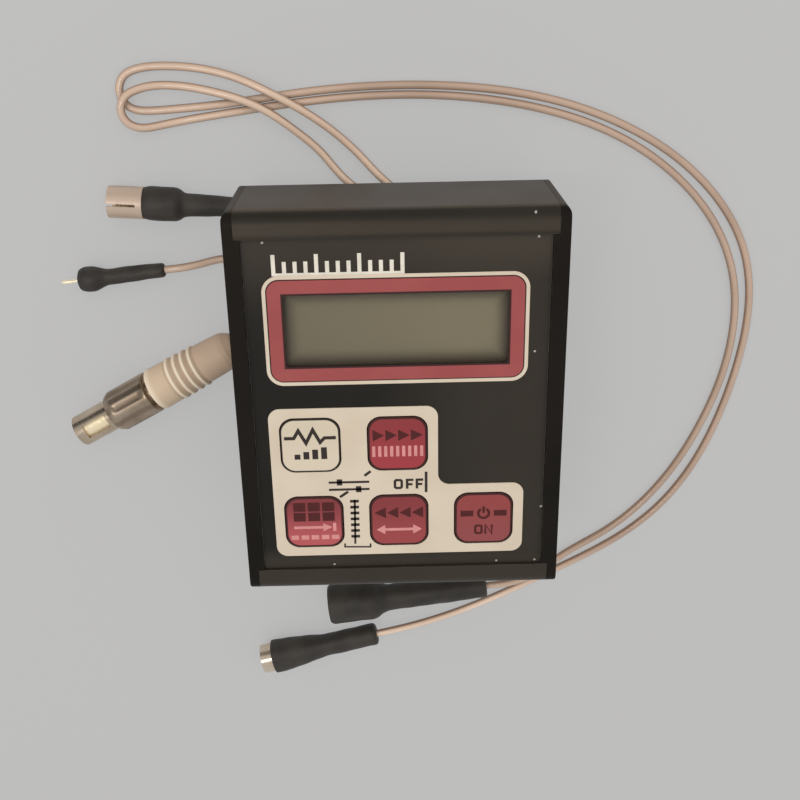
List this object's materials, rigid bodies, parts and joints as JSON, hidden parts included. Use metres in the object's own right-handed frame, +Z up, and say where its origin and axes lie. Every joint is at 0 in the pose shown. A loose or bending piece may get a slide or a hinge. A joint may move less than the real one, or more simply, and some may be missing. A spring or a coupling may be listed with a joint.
{
  "type": "watch timing tester with signal leads",
  "caption": "Handheld-size watch rate tester: extruded case with end plates, display window, sprung membrane keys, rubber feet and signal leads with plugs.",
  "frame": {"origin": "on the table under the middle of the case", "axes": "+X to the right across the front panel, +Y to its top edge, +Z up out of the panel, as the case lies on its back"},
  "size_m": [0.2237, 0.2154, 0.051],
  "materials": {
    "case_black": "satin black paint with worn edges",
    "screw_steel": "blackened",
    "panel_metal": "mill",
    "film_charcoal": "fine texture",
    "film_cream": "matt print",
    "film_red": "matt print",
    "dome_steel": "bright",
    "lens_clear": "clear",
    "display_grey": "grey liquid crystal glass",
    "plastic_black": "moulded",
    "plastic_white": "moulded",
    "strip_rubber": "plain",
    "board_green": "solder mask",
    "standoff_brass": "turned",
    "capacitor_blue": "sleeve",
    "battery_case": "plain, no print",
    "wire_red": "plain",
    "rubber_black": "matt",
    "lead_jacket": "glossy copper-brown jacket",
    "boot_dark": "satin",
    "boot_cream": "satin",
    "nickel": "satin nickel",
    "contact_gold": "gold plate",
    "insert_tan": "moulded"
  },
  "bodies": {
    "instrument": {"case_extrusion": "case_black", "end_plate_left": "case_black", "end_plate_right": "case_black", "end_plate_screws": "screw_steel", "front_panel": "panel_metal", "front_film": "film_charcoal", "display_outline": "film_cream", "display_bezel": "film_red", "keypad_film": "film_cream", "display_dome": "dome_steel", "faster_dome": "dome_steel", "marker_dome": "dome_steel", "slower_dome": "dome_steel", "power_dome": "dome_steel", "window_lens": "lens_clear", "display_glass": "display_grey", "display_holder": "plastic_black", "contact_strips": "strip_rubber", "main_board": "board_green", "board_standoffs": "standoff_brass", "board_screws": "screw_steel", "board_chips": "plastic_black", "quartz_crystal": "dome_steel", "capacitors": "capacitor_blue", "lead_header": "plastic_white", "battery": "battery_case", "battery_clip": "dome_steel", "battery_snap": "plastic_black", "battery_wires": "wire_red", "rubber_feet": "rubber_black", "rear_screws": "screw_steel", "outlet_block": "plastic_black", "lead_reliefs": "rubber_black", "inner_leads": "lead_jacket", "lead_a": "lead_jacket", "lead_b": "lead_jacket", "coax_lead": "lead_jacket", "pin_lead": "lead_jacket", "sensor_lead": "lead_jacket", "socket_a_boot": "boot_dark", "socket_a_shell": "nickel", "socket_a_insert": "insert_tan", "socket_b_boot": "boot_dark", "socket_b_shell": "nickel", "socket_b_insert": "insert_tan", "coax_boot": "boot_dark", "coax_shell": "nickel", "coax_pin": "contact_gold", "pin_boot": "boot_dark", "pin_contact": "contact_gold", "sensor_boot": "boot_cream", "sensor_shell": "nickel", "sensor_insert": "contact_gold"},
    "display_button": {"display_key": "film_cream"},
    "faster_button": {"faster_key": "film_red"},
    "marker_button": {"marker_key": "film_red"},
    "slower_button": {"slower_key": "film_red"},
    "power_button": {"power_key": "film_red"},
    "plug_sleeve": {"sensor_sleeve": "nickel"}
  },
  "joints": [
    {"name": "display_press", "type": "slide", "parent": "instrument", "child": "display_button", "axis": [0, 0, -1], "range_m": [0, 0.0005], "stiffness_N_per_m": 2500, "deforming": ["display_dome"]},
    {"name": "faster_press", "type": "slide", "parent": "instrument", "child": "faster_button", "axis": [0, 0, -1], "range_m": [0, 0.0005], "stiffness_N_per_m": 2500, "deforming": ["faster_dome"]},
    {"name": "marker_press", "type": "slide", "parent": "instrument", "child": "marker_button", "axis": [0, 0, -1], "range_m": [0, 0.0005], "stiffness_N_per_m": 2500, "deforming": ["marker_dome"]},
    {"name": "slower_press", "type": "slide", "parent": "instrument", "child": "slower_button", "axis": [0, 0, -1], "range_m": [0, 0.0005], "stiffness_N_per_m": 2500, "deforming": ["slower_dome"]},
    {"name": "power_press", "type": "slide", "parent": "instrument", "child": "power_button", "axis": [0, 0, -1], "range_m": [0, 0.0005], "stiffness_N_per_m": 2500, "deforming": ["power_dome"]},
    {"name": "sleeve_slide", "type": "slide", "parent": "instrument", "child": "plug_sleeve", "axis": [0.8788, 0.4772, 0], "range_m": [0, 0.001], "stiffness_N_per_m": 3000}
  ]
}
